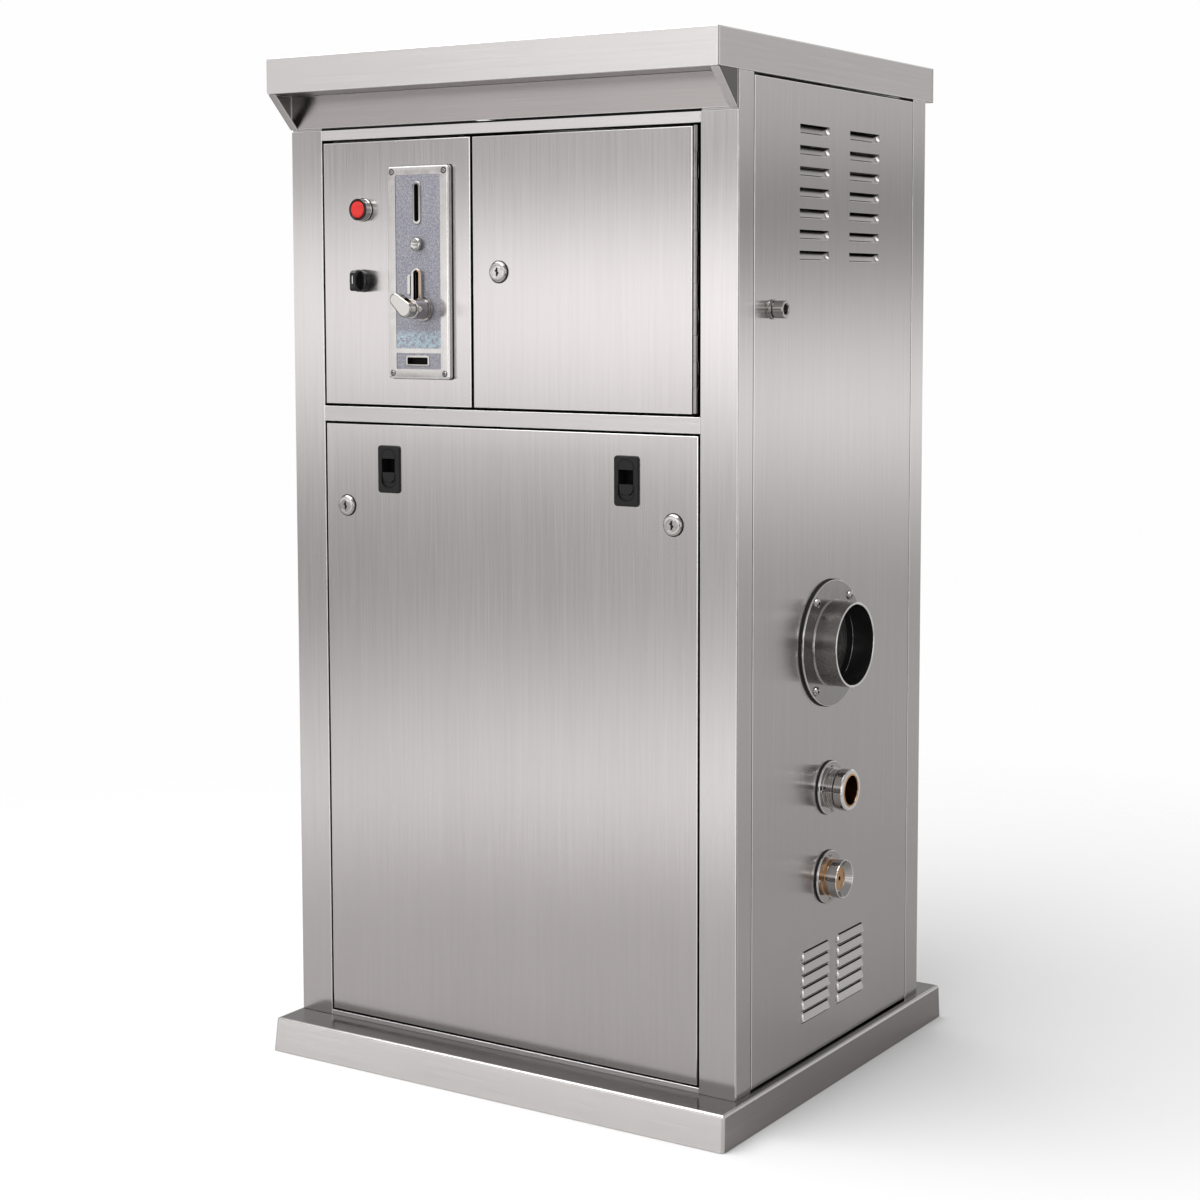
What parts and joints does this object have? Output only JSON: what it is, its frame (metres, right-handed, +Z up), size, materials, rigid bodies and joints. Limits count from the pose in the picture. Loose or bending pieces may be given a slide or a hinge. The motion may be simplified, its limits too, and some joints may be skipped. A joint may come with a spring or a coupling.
{
  "type": "coin-operated service station",
  "caption": "Floor-standing brushed-steel service cabinet with a coin mechanism, two front doors, a louvred side with a suction spigot and two hose couplings.",
  "frame": {"origin": "on the floor, at the centre of the four anchor holes in the plinth's bottom flange", "axes": "+Z up, +X to the right seen from the front, -Y out of the front; the hose couplings leave along +X"},
  "size_m": [0.734, 0.6214, 1.3414],
  "materials": {
    "sheet_steel": "vertical brushed grain",
    "frame_steel": "brushed folded frame",
    "cap_steel": "horizontal brushed grain",
    "turned_steel": "turned",
    "chrome": "bright plated",
    "cast_plate": "satin cast and plated",
    "inlay": "speckled blue grey",
    "black_plastic": "satin moulded",
    "red_plastic": "gloss",
    "rubber": "matt",
    "brass": "turned",
    "motor_paint": "satin",
    "grey_plastic": "moulded"
  },
  "bodies": {
    "cabinet": {"base_plinth": "cap_steel", "front_post_left": "frame_steel", "front_post_right": "frame_steel", "rear_post_left": "frame_steel", "rear_post_right": "frame_steel", "header_rail": "cap_steel", "middle_rail": "cap_steel", "sill_rail": "cap_steel", "centre_mullion": "frame_steel", "canopy_panel": "cap_steel", "canopy_brackets": "cap_steel", "roof_cap": "cap_steel", "side_panel_left": "sheet_steel", "side_panel_right": "sheet_steel", "rear_panel": "sheet_steel", "control_panel": "sheet_steel", "button_bezel": "chrome", "selector_bezel": "black_plastic", "coin_plate": "cast_plate", "coin_inlay": "inlay", "coin_plate_screws": "turned_steel", "coin_chute_hood": "chrome", "coin_mech_housing": "grey_plastic", "cash_box": "frame_steel", "coin_drop_chute": "grey_plastic", "hinge_frame_leaf": "frame_steel", "hinge_pin": "turned_steel", "flange_gaskets": "rubber", "hose_spigot": "turned_steel", "water_coupling": "turned_steel", "water_bush": "brass", "drain_coupling": "turned_steel", "flange_screws": "turned_steel", "side_lock_body": "turned_steel", "mounting_shelf": "frame_steel", "suction_motor": "motor_paint", "suction_duct": "grey_plastic", "water_valve": "brass", "water_pipe": "grey_plastic", "control_box": "grey_plastic"},
    "red_button": {"red_button": "red_plastic"},
    "selector_knob": {"selector_knob": "black_plastic"},
    "reject_button": {"reject_button": "chrome"},
    "coin_lever": {"coin_lever": "chrome"},
    "upper_door": {"upper_door": "sheet_steel", "hinge_door_leaf": "frame_steel", "door_lock_housing": "chrome"},
    "door_lock": {"door_lock_plug": "chrome", "door_lock_cam": "turned_steel"},
    "service_panel": {"service_panel": "sheet_steel", "service_lock_housings": "chrome", "pull_housings": "black_plastic"},
    "service_lock_left": {"service_lock_plug_left": "chrome", "service_lock_cam_left": "turned_steel"},
    "service_lock_right": {"service_lock_plug_right": "chrome", "service_lock_cam_right": "turned_steel"},
    "pull_slider_left": {"pull_slider_left": "black_plastic"},
    "pull_slider_right": {"pull_slider_right": "black_plastic"},
    "side_lock": {"side_lock_plug": "turned_steel"},
    "valve_poppet": {"valve_poppet": "brass"}
  },
  "joints": [
    {"name": "button_press", "type": "slide", "parent": "cabinet", "child": "red_button", "axis": [0, 1, 0], "range_m": [0, 0.004], "stiffness_N_per_m": 600, "springref_m": -0.003},
    {"name": "selector_turn", "type": "hinge", "parent": "cabinet", "child": "selector_knob", "pos_m": [-0.223, -0.259, 1.049], "axis": [0, 1, 0], "range_deg": [-45, 45]},
    {"name": "reject_press", "type": "slide", "parent": "cabinet", "child": "reject_button", "axis": [0, 1, 0], "range_m": [0, 0.003], "stiffness_N_per_m": 500, "springref_m": -0.003},
    {"name": "lever_turn", "type": "hinge", "parent": "cabinet", "child": "coin_lever", "pos_m": [-0.118, -0.268, 1.012], "axis": [0, 1, 0], "range_deg": [0, 60], "stiffness_Nm_per_rad": 0.4, "springref_deg": -11.46},
    {"name": "upper_door_swing", "type": "hinge", "parent": "cabinet", "child": "upper_door", "pos_m": [0.2852, -0.2576, 1.0585], "axis": [0, 0, 1], "range_deg": [0, 110]},
    {"name": "door_lock_turn", "type": "hinge", "parent": "upper_door", "child": "door_lock", "pos_m": [-0.004, -0.259, 1.059], "axis": [0, 1, 0], "range_deg": [0, 90]},
    {"name": "service_panel_lift_off", "type": "slide", "parent": "cabinet", "child": "service_panel", "axis": [0, -1, 0], "range_m": [0, 0.06]},
    {"name": "service_lock_left_turn", "type": "hinge", "parent": "service_panel", "child": "service_lock_left", "pos_m": [-0.2555, -0.259, 0.75], "axis": [0, 1, 0], "range_deg": [0, 90]},
    {"name": "service_lock_right_turn", "type": "hinge", "parent": "service_panel", "child": "service_lock_right", "pos_m": [0.2555, -0.259, 0.75], "axis": [0, -1, 0], "range_deg": [0, 90]},
    {"name": "pull_slider_left_press", "type": "slide", "parent": "service_panel", "child": "pull_slider_left", "axis": [0, 0, -1], "range_m": [0, 0.006], "stiffness_N_per_m": 300, "springref_m": -0.003},
    {"name": "pull_slider_right_press", "type": "slide", "parent": "service_panel", "child": "pull_slider_right", "axis": [0, 0, -1], "range_m": [0, 0.006], "stiffness_N_per_m": 300, "springref_m": -0.003},
    {"name": "side_lock_turn", "type": "hinge", "parent": "cabinet", "child": "side_lock", "pos_m": [0.345, -0.173, 1.012], "axis": [1, 0, 0], "range_deg": [0, 90]},
    {"name": "valve_poppet_push", "type": "slide", "parent": "cabinet", "child": "valve_poppet", "axis": [-1, 0, 0], "range_m": [0, 0.006], "stiffness_N_per_m": 500, "springref_m": -0.003}
  ]
}
